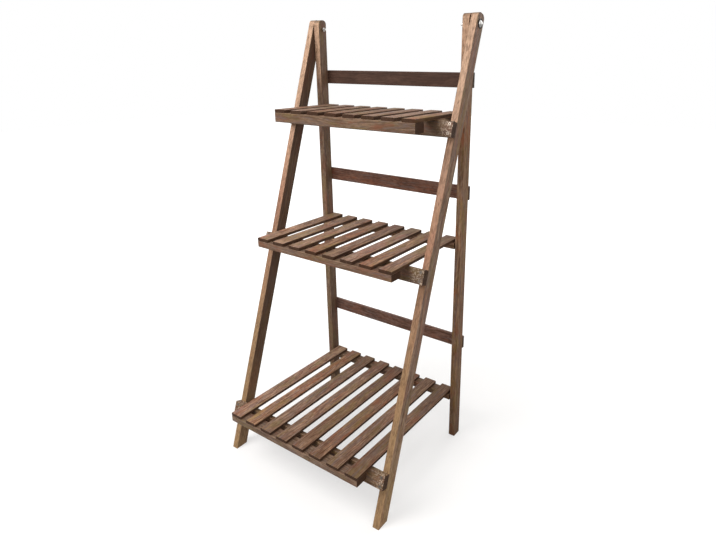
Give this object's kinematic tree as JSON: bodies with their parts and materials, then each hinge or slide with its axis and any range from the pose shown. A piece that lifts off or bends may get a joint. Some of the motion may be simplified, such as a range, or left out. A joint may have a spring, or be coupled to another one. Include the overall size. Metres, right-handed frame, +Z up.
{
  "type": "folding plant stand",
  "caption": "Folding ladder-style wooden plant stand with slatted shelves hinged on an upright rear frame and a leaning front frame.",
  "frame": {"origin": "on the floor, at the middle of the stand's width and depth", "axes": "+Z up, -Y towards the front, +X to the right along the shelves"},
  "size_m": [0.4896, 0.423, 1.0646],
  "materials": {
    "front_leg_wood": "oiled hardwood, satin",
    "rear_leg_wood": "oiled hardwood, satin",
    "rail_wood": "oiled hardwood, satin",
    "rung_wood": "oiled hardwood, satin",
    "slat_wood": "oiled hardwood, satin",
    "batten_wood": "oiled hardwood, satin",
    "screw_steel": "zinc-plated",
    "bolt_steel": "zinc-plated, bright",
    "dark_washer_steel": "blackened",
    "pin_steel": "plain"
  },
  "bodies": {
    "rear_frame": {"rear_leg_left": "rear_leg_wood", "rear_leg_right": "rear_leg_wood", "bottom_rail": "rail_wood", "middle_rail": "rail_wood", "top_rail": "rail_wood", "rail_screws": "screw_steel", "pivot_spacers": "bolt_steel"},
    "front_frame": {"front_leg_left": "front_leg_wood", "front_leg_right": "front_leg_wood", "bottom_rung": "rung_wood", "middle_rung": "rung_wood", "top_rung": "rung_wood", "rung_screws": "screw_steel", "pivot_bolts": "bolt_steel", "pivot_washers": "dark_washer_steel", "pivot_nuts": "bolt_steel"},
    "bottom_shelf": {"bottom_front_batten": "batten_wood", "bottom_rear_batten": "batten_wood", "bottom_slat_screws": "screw_steel", "bottom_hinge_pins": "pin_steel", "bottom_slat_1": "slat_wood", "bottom_slat_2": "slat_wood", "bottom_slat_3": "slat_wood", "bottom_slat_4": "slat_wood", "bottom_slat_5": "slat_wood", "bottom_slat_6": "slat_wood", "bottom_slat_7": "slat_wood", "bottom_slat_8": "slat_wood"},
    "middle_shelf": {"middle_front_batten": "batten_wood", "middle_rear_batten": "batten_wood", "middle_slat_screws": "screw_steel", "middle_hinge_pins": "pin_steel", "middle_slat_1": "slat_wood", "middle_slat_2": "slat_wood", "middle_slat_3": "slat_wood", "middle_slat_4": "slat_wood", "middle_slat_5": "slat_wood", "middle_slat_6": "slat_wood", "middle_slat_7": "slat_wood", "middle_slat_8": "slat_wood"},
    "top_shelf": {"top_front_batten": "batten_wood", "top_rear_batten": "batten_wood", "top_slat_screws": "screw_steel", "top_hinge_pins": "pin_steel", "top_slat_1": "slat_wood", "top_slat_2": "slat_wood", "top_slat_3": "slat_wood", "top_slat_4": "slat_wood", "top_slat_5": "slat_wood", "top_slat_6": "slat_wood", "top_slat_7": "slat_wood", "top_slat_8": "slat_wood"}
  },
  "joints": [
    {"name": "front_fold", "type": "hinge", "parent": "rear_frame", "child": "front_frame", "pos_m": [0, 0.19, 1.042], "axis": [1, 0, 0], "range_deg": [0, 19.3]},
    {"name": "bottom_shelf_lift", "type": "hinge", "parent": "rear_frame", "child": "bottom_shelf", "pos_m": [0, 0.186, 0.118], "axis": [-1, 0, 0], "range_deg": [0, 90]},
    {"name": "middle_shelf_lift", "type": "hinge", "parent": "rear_frame", "child": "middle_shelf", "pos_m": [0, 0.186, 0.543], "axis": [-1, 0, 0], "range_deg": [0, 90]},
    {"name": "top_shelf_lift", "type": "hinge", "parent": "rear_frame", "child": "top_shelf", "pos_m": [0, 0.186, 0.842], "axis": [-1, 0, 0], "range_deg": [0, 90]}
  ]
}
